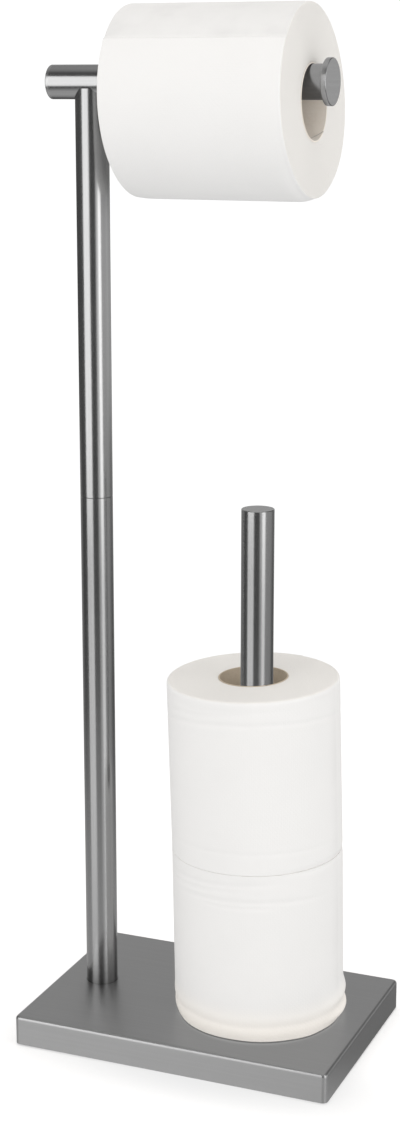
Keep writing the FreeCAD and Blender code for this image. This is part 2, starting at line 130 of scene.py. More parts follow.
class NodeSheet:
    """Lays nodes in one node tree and joins them."""

    def __init__(self, tree: NodeTree) -> None:
        """Keep the tree that the nodes go into."""
        self.tree = tree

    def feed(self, socket: Socket, value: Feed) -> None:
        """Join a socket to another one, or give it a plain value.

        Args:
            socket: The input to fill.
            value: An output socket, a number or a list of numbers.
        """
        if isinstance(value, Socket):
            self.tree.links.new(value, socket)
        else:
            socket.default_value = value

    def add(self, kind: str, inputs: Optional[Inputs] = None, **settings: object) -> bpy.types.Node:
        """Add a shader node.

        Args:
            kind: Blender's name for it, without ShaderNode.
            inputs: What goes into its sockets, by name or place.
            **settings: Its other properties.

        Returns:
            The node.
        """
        node = self.tree.nodes.new(f"ShaderNode{kind}")
        for name, value in settings.items():
            setattr(node, name, value)
        for key, value in (inputs or {}).items():
            self.feed(node.inputs[key], value)
        return node

    def math(self, operation: str, *values: Feed) -> Socket:
        """Calculate with numbers, by Blender's name for the sum."""
        return self.add("Math", dict(enumerate(values)), operation=operation).outputs[0]

    def product(self, *values: Feed) -> Socket:
        """Multiply two or more numbers."""
        return reduce(lambda first, second: self.math("MULTIPLY", first, second), values)

    def vector(self, operation: str, *values: Feed, output: str = "Value") -> Socket:
        """Calculate with vectors, by Blender's name for the sum and for the output to give."""
        return self.add("VectorMath", dict(enumerate(values)), operation=operation).outputs[output]

    def split(self, value: Socket) -> Outputs:
        """Take a vector's X, Y and Z apart."""
        return self.add("SeparateXYZ", {0: value}).outputs

    def noise(self, position: Socket, scale: Feed, detail: float) -> Socket:
        """Make cloudy noise from 0 to 1, at a scale and with a number of finer layers."""
        return self.add("TexNoise", {"Vector": position, "Scale": scale, "Detail": detail}).outputs[0]

    def ramp(self, value: Feed, span: Span, low: float = 0.0, high: float = 1.0) -> Socket:
        """Go smoothly from low to high while a value goes from a span's first end to its second."""
        inputs = {"Value": value, "From Min": span[0], "From Max": span[1], "To Min": low, "To Max": high}
        return self.add("MapRange", inputs, interpolation_type="SMOOTHSTEP").outputs[0]

    def wave(self, value: Socket, per_unit: float) -> Socket:
        """Make a sine with so many waves in a unit."""
        return self.math("SINE", self.math("MULTIPLY", value, per_unit * math.tau))

    def seam(self, wound: Socket, edge: Span) -> Socket:
        """Draw a line at each whole turn, which goes from nothing to full over a span of a turn."""
        return self.ramp(self.math("PINGPONG", wound, HALF_TURN), edge)

    def mix(self, share: Feed, first: Feed, second: Feed) -> Socket:
        """Blend two colours, with a share of the second."""
        return self.add("Mix", {0: share, 6: first, 7: second}, data_type="RGBA").outputs[2]

    def blend(self, share: Feed, first: Socket, second: Socket) -> Socket:
        """Blend two shaders, with a share of the second."""
        return self.add("MixShader", {0: share, 1: first, 2: second}).outputs[0]

    def glow(self, strength: Feed) -> Socket:
        """Make a shader that gives white light."""
        return self.add("Emission", {"Strength": strength}).outputs[0]

    def effect(self, group: NodeTree, inputs: Optional[Inputs] = None) -> Outputs:
        """Place a shared effect with its values here."""
        return self.add("Group", inputs, node_tree=group).outputs


Drawing = Callable[[NodeSheet, Outputs], dict[str, Socket]]


@dataclass
class Effects:
    """The surface effects that more than one finish uses, each a node group made once.

    Lines and bands are a scale and a detail. A range is where an effect starts and where it is full.
    """

    lines: Span = (1.0, 3.0)
    bands: Span = (0.21, 1.0)
    cloud_detail: float = 3.0
    cloud_range: Span = (0.35, 0.7)
    grain_detail: float = 5.0
    grain_range: Span = (0.3, 0.7)
    edge_samples: int = 6
    edge_range: Span = (0.995, 0.9)
    corner_samples: int = 8
    corner_range: Span = (0.85, 0.4)
    end_range: Span = (0.55, 0.9)

    def __post_init__(self) -> None:
        """Make every group."""
        spotted = {"Position": "Vector", "Per Metre": "Float"}
        self.drawn_lines = self._group(self._drawn_lines, {"Position": "Vector", "Per Metre": "Vector"})
        self.smudges = self._group(self._smudges, spotted)
        self.speckle = self._group(self._speckle, spotted)
        self.edge_wear_and_highlight = self._group(self._edge_wear_and_highlight, {"Width": "Float"})
        self.painted_corner_shade = self._group(self._painted_corner_shade, {"Width": "Float"})
        self.roll_place = self._group(self._roll_place, {})

    @staticmethod
    def _group(draw: Drawing, inputs: Mapping[str, str]) -> NodeTree:
        """Make a node group.

        Args:
            draw: The method that lays its nodes and gives its results, which are numbers.
            inputs: Its inputs, each with its kind of socket.

        Returns:
            The group.
        """
        tree = bpy.data.node_groups.new(draw.__name__.strip("_"), "ShaderNodeTree")
        for label, kind in inputs.items():
            tree.interface.new_socket(label, in_out="INPUT", socket_type=f"NodeSocket{kind}")
        sheet = NodeSheet(tree)
        results = draw(sheet, tree.nodes.new("NodeGroupInput").outputs)
        for label in results:
            tree.interface.new_socket(label, in_out="OUTPUT", socket_type="NodeSocketFloat")
        output = tree.nodes.new("NodeGroupOutput")
        for label, result in results.items():
            sheet.feed(output.inputs[label], result)
        return tree

    def _drawn_lines(self, sheet: NodeSheet, given: Outputs) -> dict[str, Socket]:
        """Draw fine parallel lines with broader bands among them, such as brushing or crepe."""
        place = sheet.vector("MULTIPLY", given["Position"], given["Per Metre"], output="Vector")
        return {"Lines": sheet.noise(place, *self.lines), "Bands": sheet.noise(place, *self.bands)}

    def _smudges(self, sheet: NodeSheet, given: Outputs) -> dict[str, Socket]:
        """Draw the soft clouds that handling leaves on a surface."""
        clouds = sheet.noise(given["Position"], given["Per Metre"], self.cloud_detail)
        return {"Smudge": sheet.ramp(clouds, self.cloud_range)}

    def _speckle(self, sheet: NodeSheet, given: Outputs) -> dict[str, Socket]:
        """Draw small irregular grains, as in a casting, foam or board."""
        grains = sheet.noise(given["Position"], given["Per Metre"], self.grain_detail)
        return {"Grain": sheet.ramp(grains, self.grain_range)}

    def _edge_wear_and_highlight(self, sheet: NodeSheet, given: Outputs) -> dict[str, Socket]:
        """Find the edges, where a rounded-off normal leaves the surface's own; finishes lighten them as
        wear and painted highlight, or darken them as painted shade.

        Args:
            sheet: The group's sheet.
            given: The group's inputs.

        Returns:
            The edges.
        """
        rounded = sheet.add("Bevel", {"Radius": given["Width"]}, samples=self.edge_samples).outputs[0]
        normal = sheet.add("NewGeometry").outputs["Normal"]
        return {"Edge": sheet.ramp(sheet.vector("DOT_PRODUCT", rounded, normal), self.edge_range)}

    def _painted_corner_shade(self, sheet: NodeSheet, given: Outputs) -> dict[str, Socket]:
        """Find the narrow corners where pieces meet and the places near them, by ambient occlusion, which
        finishes darken as painted shade.
        """
        sky = sheet.add("AmbientOcclusion", {"Distance": given["Width"]}, samples=self.corner_samples)
        return {"Corner": sheet.ramp(sky.outputs["AO"], self.corner_range)}

    def _roll_place(self, sheet: NodeSheet, given: Outputs) -> dict[str, Socket]:
        """Say where a point lies on a wound roll.

        Args:
            sheet: The group's sheet.
            given: The group's inputs, of which it has none; not used.

        Returns:
            Its distance from the axis, share of a turn, height, and whether it is on an end.
        """
        point = sheet.add("TexCoord").outputs
        x, y, height = sheet.split(point["Object"])
        tilt = sheet.math("ABSOLUTE", sheet.split(point["Normal"])["Z"])
        return {
            "Radius": sheet.math("SQRT", sheet.math("MULTIPLY_ADD", y, y, sheet.product(x, x))),
            "Turn": sheet.math("DIVIDE", sheet.math("ARCTAN2", y, x), math.tau),
            "Height": height,
            "End": sheet.ramp(tilt, self.end_range),
        }


class Blank(NamedTuple):
    """A started material: its sheet, its shader, the place on the object and the shared effects."""

    sheet: NodeSheet
    shader: bpy.types.NodeInputs
    place: Socket
    effects: Effects

    def give(self, label: str, value: Feed) -> None:
        """Give the shader a socket or a plain value."""
        self.sheet.feed(self.shader[label], value)

    def pattern(self, group: NodeTree, per_metre: Feed) -> Outputs:
        """Lay a shared pattern with so many lines, clouds or grains in a metre."""
        return self.sheet.effect(group, {"Position": self.place, "Per Metre": per_metre})

    def in_steel(self) -> Socket:
        """Tell the rays by which steel shows the surface, which give 1."""
        return self.sheet.add("LightPath").outputs["Is Glossy Ray"]

    def roughen(self, relief: Socket, middle: float, change: float) -> None:
        """Let the roughness change from a relief's low places to its high ones."""
        self.give("Roughness", self.sheet.math("MULTIPLY_ADD", relief, change, middle - change / 2))

    def raise_by(self, relief: Socket, depth: float) -> None:
        """Give the surface a relief that is so many metres deep."""
        bump = self.sheet.add("Bump", {"Height": relief, "Distance": depth})
        self.give("Normal", bump.outputs["Normal"])


@dataclass(frozen=True)
class Finish:
    """What every finish has: a name, a colour and a middle roughness."""

    name: str
    colour: Colour
    roughness: float

    def build(self, effects: Effects) -> Material:
        """Make the material, with its one shader.

        Args:
            effects: The shared node groups.

        Returns:
            The material.
        """
        material = bpy.data.materials.new(self.name)
        material.use_nodes = True
        sheet = NodeSheet(material.node_tree)
        shader = material.node_tree.nodes["Principled BSDF"].inputs
        self.paint(Blank(sheet, shader, sheet.add("TexCoord").outputs["Object"], effects))
        return material

    def paint(self, blank: Blank) -> None:
        """Paint a started material, each kind of finish in its own way."""
        raise NotImplementedError


@dataclass(frozen=True)
class BrushedSteel(Finish):
    """Satin stainless steel with fine lines one way and cloudy gloss; its edges are lightened as wear and
    painted highlight, or darkened as painted shade, and its corners are darkened as painted shade.

    Attributes:
        grain: Which way the lines run.
        smudges: How many clouds lie in a metre.
        edge_gain: How light the edges are, or dark if under 1.
    """

    grain: GrainAxis
    line_contrast: float = 0.03
    line_range: Span = (0.7, 1.3)
    line_roughness: float = 0.04
    line_depth: float = 0.001 * MM
    smudges: float = 28.0
    smudge_roughness: float = 0.02
    edge_width: float = 0.6 * MM
    edge_gain: float = 1.1
    corner_width: float = 1.2 * MM
    corner_shade: float = 0.4

    def paint(self, blank: Blank) -> None:
        """Paint the brushed metal.

        Args:
            blank: The started material.
        """
        sheet, effects = blank.sheet, blank.effects
        blank.give("Metallic", 1.0)
        lines, bands = blank.pattern(effects.drawn_lines, self.grain.value)
        smudge = blank.pattern(effects.smudges, self.smudges)["Smudge"]
        # Edges: lighter as wear and painted highlight, or darker as painted shade where the gain is under
        # 1.
        edge = sheet.effect(effects.edge_wear_and_highlight, {"Width": self.edge_width})["Edge"]
        # Painted shade: ambient occlusion darkens the colour in corners and where pieces meet.
        corner = sheet.effect(effects.painted_corner_shade, {"Width": self.corner_width})["Corner"]
        drawn = sheet.ramp(sheet.math("ADD", lines, bands), self.line_range)
        metal = opaque(self.colour, 1.0 - self.line_contrast)
        tones = (drawn, 1.0 + self.line_contrast), (edge, self.edge_gain), (corner, self.corner_shade)
        for share, gain in tones:
            metal = sheet.mix(share, metal, opaque(self.colour, gain))
        blank.give("Base Color", metal)
        smoothest = self.roughness - self.line_roughness / 2
        gloss = sheet.math("MULTIPLY_ADD", lines, self.line_roughness, smoothest)
        blank.give("Roughness", sheet.math("MULTIPLY_ADD", smudge, self.smudge_roughness, gloss))
        blank.raise_by(lines, self.line_depth)


@dataclass(frozen=True)
class GrainySkin(Finish):
    """A skin with grains and clouds of a second colour, for the zinc plate, the ballast and the pad.

    Attributes:
        grains: How many grains lie in a metre.
        clouds: How many clouds lie in a metre.
        cloud_share: How much of the second colour is clouds, where the rest is grains.
    """

    second_colour: Colour
    grains: float
    grain_depth: float
    grain_roughness: float = -0.15
    clouds: float = 45.0
    cloud_share: float = 0.4
    metallic: float = 0.0

    def lay_skin(self, blank: Blank) -> Socket:
        """Roughen the surface and lay its two colours.

        Args:
            blank: The started material.

        Returns:
            The colour's socket.
        """
        sheet = blank.sheet
        grain = blank.pattern(blank.effects.speckle, self.grains)["Grain"]
        cloud = blank.pattern(blank.effects.smudges, self.clouds)["Smudge"]
        blank.roughen(grain, self.roughness, self.grain_roughness)
        blank.raise_by(grain, self.grain_depth)
        grains = sheet.product(grain, 1.0 - self.cloud_share)
        patches = sheet.math("MULTIPLY_ADD", cloud, self.cloud_share, grains)
        return sheet.mix(patches, opaque(self.colour), opaque(self.second_colour))

    def paint(self, blank: Blank) -> None:
        """Paint the skin as it is."""
        blank.give("Metallic", self.metallic)
        blank.give("Base Color", self.lay_skin(blank))


@dataclass(frozen=True)
class CoreBoard(GrainySkin):
    """Grey-brown board wound in a spiral, with fibres of a second colour and a darker lap line.

    Attributes:
        seam_width: The lap line's width, in shares of a turn.
        fuzz: How much its fibres catch light at a slant.
        mirrored: The darker colour that steel shows of it, a painted shade.
    """

    grains: float = 700.0
    grain_depth: float = 0.05 * MM
    grain_roughness: float = 0.12
    clouds: float = 90.0
    cloud_share: float = 0.5
    seam_shade: float = 0.6
    seam_width: float = 0.008
    specular: float = 0.25
    fuzz: float = 0.0
    mirrored: Colour = (0.30, 0.295, 0.29)

    def paint(self, blank: Blank) -> None:
        """Paint the board.

        Args:
            blank: The started material.
        """
        sheet = blank.sheet
        blank.give("Specular IOR Level", self.specular)
        blank.give("Sheen Weight", self.fuzz)
        _, turn, height, _ = sheet.effect(blank.effects.roll_place)
        wound = sheet.math("SUBTRACT", sheet.math("DIVIDE", height, CORE_PITCH), turn)
        seam = sheet.seam(wound, (self.seam_width, 0.0))
        lapped = sheet.mix(seam, self.lay_skin(blank), opaque(self.second_colour, self.seam_shade))
        # Painted shade: steel's rays see the board in a darker colour.
        blank.give("Base Color", sheet.mix(blank.in_steel(), lapped, opaque(self.mirrored)))


@dataclass(frozen=True)
class Tissue(Finish):
    """Soft white tissue: crepe lines and faint embossing round the roll, wound layers on its ends.

    Attributes:
        shade: How dark it can be, of which cloud and gap say how much clouds and gaps show.
        clouds: How many clouds lie in a metre.
        foot_band: Where the wall starts to take on its foot's colour and has it, along its height.
        bare_start: Where the stretch that the loose sheet came off starts, in shares of a turn; that
            stretch is painted darker, as painted shade.
        bare_end: Where that stretch ends.
        mirrored: How light, in shares of its colour, the grey is that the wall, the lower end and the
            upper end glow with for steel's rays alone: a painted glow, darker than the lit paper, as
            painted shade.
        crepe: How many crepe lines lie in a metre along X, Y and Z.
        layer_gap: Where the gap between two layers starts and is full, in shares of a layer.
        layer_waver: How far layers stray, in layers.
        dots_around: How many embossed dots lie round the roll.
    """

    shade: float = 0.88
    clouds: float = 34.0
    cloud: float = 0.08
    gap: float = 0.5
    lit_end_colour: Colour = (0.965, 0.945, 0.91)
    foot_colour: Colour = (1.0, 0.955, 0.89)
    foot_tint: float = 0.0
    foot_band: Span = (-26.0 * MM, -47.0 * MM)
    bare_start: Span = (-0.04, 0.04)
    bare_end: Span = (0.003, -0.01)
    bare_shade: float = 0.87
    bare_cloud: float = 0.6
    mirrored: tuple[float, float, float] = (0.42, 0.60, 0.48)
    sheen: float = 0.1
    sheen_roughness: float = 0.6
    specular: float = 0.2
    crepe: tuple[float, float, float] = (1900.0, 1900.0, 110.0)
    crepe_depth: float = 0.05 * MM
    crepe_roughness: float = 0.1
    layer_pitch: float = 0.42 * MM
    layer_gap: Span = (0.16, 0.02)
    layer_depth: float = 0.10 * MM
    layer_waver: float = 1.6
    dots_around: int = 132
    dot_pitch: float = 2.6 * MM
    dot_rim: Span = (0.35, 0.8)
    dot_depth: float = 0.02 * MM

    def paint(self, blank: Blank) -> None:
        """Paint the tissue, which steel's rays see black, with a grey painted glow in place of its lit
        colour.

        Args:
            blank: The started material.
        """
        sheet = blank.sheet
        radius, turn, height, end = sheet.effect(blank.effects.roll_place)
        crepe, bands = blank.pattern(blank.effects.drawn_lines, self.crepe)
        smudge = blank.pattern(blank.effects.smudges, self.clouds)["Smudge"]
        gap = sheet.product(self._layers(sheet, radius, turn, bands), end)
        pale = sheet.math("MULTIPLY_ADD", gap, self.gap, sheet.product(smudge, self.cloud))
        foot = sheet.product(sheet.ramp(height, self.foot_band), self.foot_tint)
        paper = sheet.mix(pale, opaque(self.colour), opaque(self.colour, self.shade))
        # Painted shade: the stretch under the loose sheet's end is darker.
        paper = sheet.mix(self._painted_shade_band(sheet, turn, smudge), paper, opaque(self.colour, self.bare_shade))
        paper = sheet.mix(foot, paper, opaque(self.foot_colour))
        # Painted light: the ends are lighter than the wall.
        paper = sheet.mix(end, paper, opaque(self.lit_end_colour))
        # Painted glow: to steel's rays the tissue is black and glows a chosen grey instead of showing its
        # lit paper.
        in_steel = blank.in_steel()
        blank.give("Base Color", sheet.mix(in_steel, paper, opaque(BLACK)))
        blank.give("Emission Color", sheet.mix(in_steel, opaque(BLACK), self._glow_in_steel(sheet, end, height)))
        blank.give("Emission Strength", 1.0)
        blank.give("Sheen Weight", self.sheen)
        blank.give("Sheen Roughness", self.sheen_roughness)
        blank.give("Specular IOR Level", self.specular)
        blank.roughen(crepe, self.roughness, self.crepe_roughness)
        dots = sheet.product(self._dots(sheet, turn, height), self.dot_depth / self.crepe_depth)
        wall = sheet.product(sheet.math("SUBTRACT", crepe, dots), sheet.math("SUBTRACT", 1.0, end))
        relief = sheet.math("MULTIPLY_ADD", gap, -self.layer_depth / self.crepe_depth, wall)
        blank.raise_by(relief, self.crepe_depth)

    def _painted_shade_band(self, sheet: NodeSheet, turn: Socket, smudge: Socket) -> Socket:
        """Find the cloudy stretch that the loose sheet has come off, which is painted darker as painted
        shade.
        """
        clouded = sheet.math("MULTIPLY_ADD", smudge, self.bare_cloud, 1.0 - self.bare_cloud)
        return sheet.product(sheet.ramp(turn, self.bare_start), sheet.ramp(turn, self.bare_end), clouded)

    def _glow_in_steel(self, sheet: NodeSheet, end: Socket, height: Socket) -> Socket:
        """Choose the grey painted glow that steel beside the roll shows of it, in place of its lit colour.
        """
        wall, low, high = (opaque(self.colour, share) for share in self.mirrored)
        return sheet.mix(end, wall, sheet.mix(sheet.math("GREATER_THAN", height, 0.0), low, high))

    def _layers(self, sheet: NodeSheet, radius: Socket, turn: Socket, bands: Socket) -> Socket:
        """Draw the gaps between wound layers, one unbroken spiral from core to loose end."""
        wound = sheet.math("ADD", sheet.math("DIVIDE", radius, self.layer_pitch), turn)
        return sheet.seam(sheet.math("MULTIPLY_ADD", bands, self.layer_waver, wound), self.layer_gap)

    def _dots(self, sheet: NodeSheet, turn: Socket, height: Socket) -> Socket:
        """Draw the embossed dots in even rows."""
        waves = sheet.wave(turn, self.dots_around), sheet.wave(height, 1.0 / self.dot_pitch)
        return sheet.ramp(sheet.product(*waves), self.dot_rim)


@dataclass(frozen=True)
class StandSection:
    """One part of the steel stand: its CAD nodes, sorted by the finish that they wear."""

    name: str
    nodes: Mapping[str, tuple[str, ...]]

    def dress(self, materials: Mapping[str, Material]) -> None:
        """Put each finish on its nodes.

        Args:
            materials: The materials by the name of their finish.
        """
        for finish, nodes in self.nodes.items():
            for node in nodes:
                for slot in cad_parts[node].material_slots:
                    slot.material = materials[finish]
                log.info("%s: %s wears %s", self.name, node, finish)


@dataclass(frozen=True)
class SqueezeMark:
    """A soft dent or swell round a roll, where it was pressed in its pack or worn.

    Attributes:
        height: Its distance from the roll's lower end, in millimetres, as are the next four.
        depth: How far it goes in, or out if negative.
        spread: Half its height.
        slant: How far it climbs from the roll's middle to one side.
        droop: How far it sinks from the roll's middle to both sides.
        towards: The side where it is deepest, in degrees from the roll's own X.
        reach: How far round it shows to each side, in degrees.
        full: The share of that reach over which it is full.
    """

    height: float
    depth: float
    spread: float
    slant: float = 0.0
    droop: float = 0.0
    towards: float = 0.0
    reach: float = 360.0
    full: float = 0.4

    def depth_at(self, height: float, angle: float, waver: float) -> float:
        """How far in the mark goes at one place.

        Args:
            height: The place's distance from the roll's lower end.
            angle: The place's angle from the roll's own X, in radians.
            waver: How far the mark strays from its height there.

        Returns:
            The depth, negative for a swell.
        """
        away = (angle - math.radians(self.towards) + math.pi) % math.tau - math.pi
        bend = self.slant * math.sin(away) - self.droop * (1.0 - math.cos(away))
        off = (height - waver) / MM - self.height - bend
        shown = 1.0 - smooth_step(self.full, 1.0, abs(math.degrees(away)) / self.reach)
        return self.depth * MM * shown * math.exp(-((off / self.spread) ** 2))


@dataclass
class TissueRoll:
    """One wound roll: the paper, which ends in a loose sheet, and the board core inside it.

    Attributes:
        body: The moving body that it is.
        tail_angle: Where its loose sheet ends, in degrees from its own X towards its own Y.
        seed: Moves its noise, so that no two rolls are alike.
        foot, head: How far its lower and upper end lie from the CAD roll's axis, along X and Y.
        fray: How far its lower edge is knocked out of true.
        spread: How far its layers have slid past each end of the CAD roll.
        foot_rise, head_rise: How far its ends climb from its axis towards its own X and Y.
        mirrored: Whether the steel shows it.
        core_turn: How far its core is turned about the axis, in degrees.
        core_shrink: How far its core lies inside the CAD core.
        soft_depth: How deep below the wall its marks reach.
        sheet_step: How far the wall sinks in one turn of the sheet.
        wobble, crinkle: How deep the wall's broad dents and its creases are.
        wobble_lumps: How many dents lie in a radian and in a metre, as for the other lumps.
        crinkle_zone: Where creases start and are full, in shares of a turn from the sheet's end.
        crinkle_elsewhere: How much of them shows before that.
        fray_start, end_zone: Where knocks and ends start, in shares of half its width.
        core_laps: Where the core's rows start and end between two laps, in shares of a lap.
        core_crease: From which angle between faces an edge of the core is sharp, in degrees.
        seam_rise: How wide the step at each lap is, in shares of a lap.
    """

    body: str
    lay: RollLay
    tail_angle: float
    seed: float
    marks: tuple[SqueezeMark, ...] = ()
    foot: Span = (0.0, 0.0)
    head: Span = (0.0, 0.0)
    fray: float = 0.0
    spread: float = 0.0
    foot_rise: Span = (0.0, 0.0)
    head_rise: Span = (0.0, 0.0)
    mirrored: bool = True
    tissue: str = "tissue"
    board: str = "core_board"
    core_turn: float = 0.0
    core_shrink: float = 0.5 * MM
    lower_edge: float = 2.2 * MM
    upper_edge: float = 2.2 * MM
    soft_depth: float = 6.0 * MM
    sheet_step: float = 0.25 * MM
    step_width: float = 0.6 * MM
    lip_rise: float = 0.45 * MM
    lip_length: float = 4.0 * MM
    tooth_length: float = 0.20 * MM
    wobble: float = 0.12 * MM
    wobble_lumps: Span = (1.6, 18.0)
    crinkle: float = 0.45 * MM
    crinkle_lumps: Span = (6.0, 210.0)
    crinkle_zone: Span = (0.8, 0.98)
    crinkle_elsewhere: float = 0.15
    mark_waver: float = 0.8 * MM
    waver_lumps: Span = (2.0, 0.0)
    fray_start: float = 0.86
    fray_lumps: Span = (2.4, 0.0)
    end_zone: Span = (0.95, 0.995)
    face_ripple: float = 0.10 * MM
    ripple_lumps: Span = (0.9, 1400.0)
    face_dish: float = 0.20 * MM
    core_wall: float = 0.55 * MM
    core_gap: float = 0.05 * MM
    core_laps: Span = (0.06, 0.94)
    core_crease: float = 40.0
    seam_step: float = 0.18 * MM
    seam_rise: float = 0.006
    columns: int = 192
    wall_rings: int = 120
    face_rings: int = 34
    bore_rings: int = 6
    corner_steps: int = 8
    core_columns: int = 96
    core_rows: int = 9
    centre: Vector = field(init=False)
    wall_radius: float = field(init=False)
    half_width: float = field(init=False)
    core_radius: float = field(init=False)

    def __post_init__(self) -> None:
        """Take the roll's place and size from its CAD solids."""
        side, _, axis = map(Vector, self.lay.value)
        low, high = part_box(f"{self.body}_paper")
        core_low, core_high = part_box(f"{self.body}_core")
        self.centre = (low + high) / 2
        self.wall_radius = (high - low).dot(side) / 2
        self.half_width = (high - low).dot(axis) / 2 + self.spread
        self.core_radius = (core_high - core_low).dot(side) / 2 - self.core_shrink

    @property
    def bore(self) -> float:
        """The paper's inner radius."""
        return self.core_radius + self.core_gap

    def build(self, materials: Mapping[str, Material]) -> None:
        """Make the paper and the core, dress them and let them stand for their CAD solids.

        Args:
            materials: The materials by the name of their finish.
        """
        paper = self.wind_paper(), self.tissue, "tissue", "paper"
        core = self.wind_core(), self.board, "core_board", "core"
        for piece, finish, slot, part in (paper, core):
            piece.data.materials.append(materials[finish])
            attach(piece, self.body)
            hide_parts(f"{self.body}_{part}")
            piece.visible_glossy = self.mirrored
            log.info("%s: %d faces", piece.name, len(piece.data.polygons))

    def profile(self) -> list[Span]:
        """Walk once round the paper's cut face.

        Returns:
            Points as (radius, height), from the bore's lower end outwards, up and back.
        """
        top, wall = self.half_width, self.wall_radius
        points = [(r, -top) for r in spaced(self.bore, wall - self.lower_edge, self.face_rings)]
        points += self._rounding(self.lower_edge, -1)
        low, high = self.lower_edge - top, top - self.upper_edge
        points += [(wall, h) for h in spaced(low, high, self.wall_rings)]
        points += reversed(self._rounding(self.upper_edge, 1))
        points += [(r, top) for r in spaced(wall - self.upper_edge, self.bore, self.face_rings)]
        points += [(self.bore, h) for h in spaced(top, -top, self.bore_rings)[1:-1]]
        return points

    def _rounding(self, edge: float, side: int) -> list[Span]:
        """Round one outer edge of the cut face.

        Args:
            edge: The rounding's radius.
            side: 1 for the upper end, -1 for the lower one.

        Returns:
            The points between its ends, from the end face to the wall.
        """
        angles = spaced(math.pi / 2, 0.0, self.corner_steps)[1:-1]
        reach, rise = self.wall_radius - edge, self.half_width - edge
        return [(reach + edge * math.cos(a), side * (rise + edge * math.sin(a))) for a in angles]

    def turns(self) -> list[float]:
        """Space the mesh's columns.

        Returns:
            Their angles from the loose sheet's end, closer together beside it.
        """
        near = self.lip_length / self.wall_radius
        first = [self.step_width / 2 / self.wall_radius, near / 4, near / 2]
        last = [math.tau - turn for turn in reversed(first)]
        return first + spaced(near, math.tau - near, self.columns) + last

    def settle(self, radius: float, height: float, turn: float, ring: int) -> Vector:
        """Move a point of the cut face to where the wound paper lies.

        Args:
            radius: Its distance from the axis.
            height: Its place along the axis.
            turn: Its angle from the loose sheet's end.
            ring: Which ring of the mesh it is on.

        Returns:
            The point in the roll's own frame.
        """
        wall, top = self.wall_radius, self.half_width
        angle = turn + math.radians(self.tail_angle)
        outer = smooth_step(wall - self.soft_depth, wall, radius)
        end = smooth_step(*self.end_zone, abs(height) / top)
        from_tail = min(turn, math.tau - turn) * wall / self.lip_length
        tooth = self.tooth_length / wall * max(0.0, 1.0 - from_tail) * outer
        angle += tooth if ring % 2 else -tooth
        low = smooth_step(self.fray_start, 1.0, -height / top)
        knock = self.fray * outer * low * self._lumps(self.fray_lumps, angle)
        inset = self._wall_depth(height, turn, angle) * outer + knock
        sunk = math.copysign(self._end_depth(radius, angle) * end, height)
        return on_circle(angle, radius - inset, height - sunk + knock)

    def _lumps(self, lumps: Span, angle: float, along: float = 0.0) -> float:
        """Give smooth noise from 0 to 1, with so many lumps in a radian and in a metre."""
        return 0.5 + 0.5 * noise.noise(on_circle(angle, lumps[0], along * lumps[1] + self.seed))

    def _wall_depth(self, height: float, turn: float, angle: float) -> float:
        """How far the round wall lies inside its radius.

        Args:
            height: The place along the axis.
            turn: The angle from the loose sheet's end, back along the sheet.
            angle: The angle from the roll's own X.

        Returns:
            The depth, negative where the sheet's lip stands proud.
        """
        lip = max(0.0, 1.0 - turn * self.wall_radius / self.lip_length)
        depth = self.sheet_step * turn / math.tau - self.lip_rise * lip * lip
        depth += self.wobble * self._lumps(self.wobble_lumps, angle, height)
        under_end = smooth_step(*self.crinkle_zone, turn / math.tau)
        creased = self.crinkle_elsewhere + (1.0 - self.crinkle_elsewhere) * under_end
        depth += self.crinkle * self._lumps(self.crinkle_lumps, angle, height) * creased
        waver = self.mark_waver * (2.0 * self._lumps(self.waver_lumps, angle) - 1.0)
        return depth + sum(mark.depth_at(height + self.half_width, angle, waver) for mark in self.marks)

    def _end_depth(self, radius: float, angle: float) -> float:
        """How far an end lies inside the roll's width: uneven layers, and a dish towards the core."""
        dish = (self.wall_radius - radius) / (self.wall_radius - self.bore)
        return self.face_ripple * self._lumps(self.ripple_lumps, angle, radius) + self.face_dish * dish

    def wind_paper(self) -> bpy.types.Object:
        """Wind the paper as one closed mesh.

        Returns:
            The paper, in place.
        """
        profile, turns = self.profile(), self.turns()
        points = [self.settle(*spot, turn, ring) for ring, spot in enumerate(profile) for turn in turns]
        across = len(turns)
        faces = []
        for ring in range(len(profile)):
            above = (ring + 1) % len(profile)
            for column in range(across):
                beside = (column + 1) % across
                corners = (ring, column), (ring, beside), (above, beside), (above, column)
                faces.append([row * across + place for row, place in corners])
        data = bpy.data.meshes.new(f"{self.body}_wound_paper")
        data.from_pydata(points, [], faces)
        return self._put(data)

    def wind_core(self) -> bpy.types.Object:
        """Wind the core: a tube whose inside follows the board's spiral, with a step at each lap.

        Returns:
            The core, in place.
        """
        mesh = bmesh.new()
        self._line_core(mesh)
        angles = [math.tau * column / self.core_columns for column in range(self.core_columns)]
        ends = (-self.half_width, self.half_width)
        inner = [self._rim(mesh, height) for height in ends]
        radius = self.core_radius
        outer = [[mesh.verts.new(on_circle(a, radius, height)) for a in angles] for height in ends]
        rings = [inner[0], outer[0], outer[1], inner[1]]
        for near, far in zip(rings, rings[1:]):
            for column in range(self.core_columns):
                mesh.faces.new((near[column - 1], near[column], far[column], far[column - 1]))
        bmesh.ops.recalc_face_normals(mesh, faces=mesh.faces[:])
        for edge in mesh.edges:
            edge.smooth = edge.calc_face_angle() < math.radians(self.core_crease)
        data = bpy.data.meshes.new(f"{self.body}_spiral_core")
        mesh.to_mesh(data)
        mesh.free()
        return self._put(data, math.radians(self.core_turn))

    def _rim(self, mesh: bmesh.types.BMesh, height: float) -> list[bmesh.types.BMVert]:
        """Find the open rim at one end of the core's inner wall.

        Args:
            mesh: The mesh with the inner wall.
            height: The end's height.

        Returns:
            The rim's points, one for each column.
        """
        rim = {}
        for vert in mesh.verts:
            if abs(vert.co.z - height) < WELD:
                turn = math.atan2(vert.co.y, vert.co.x) / math.tau
                rim[round(turn * self.core_columns) % self.core_columns] = vert
        return [rim[column] for column in range(self.core_columns)]

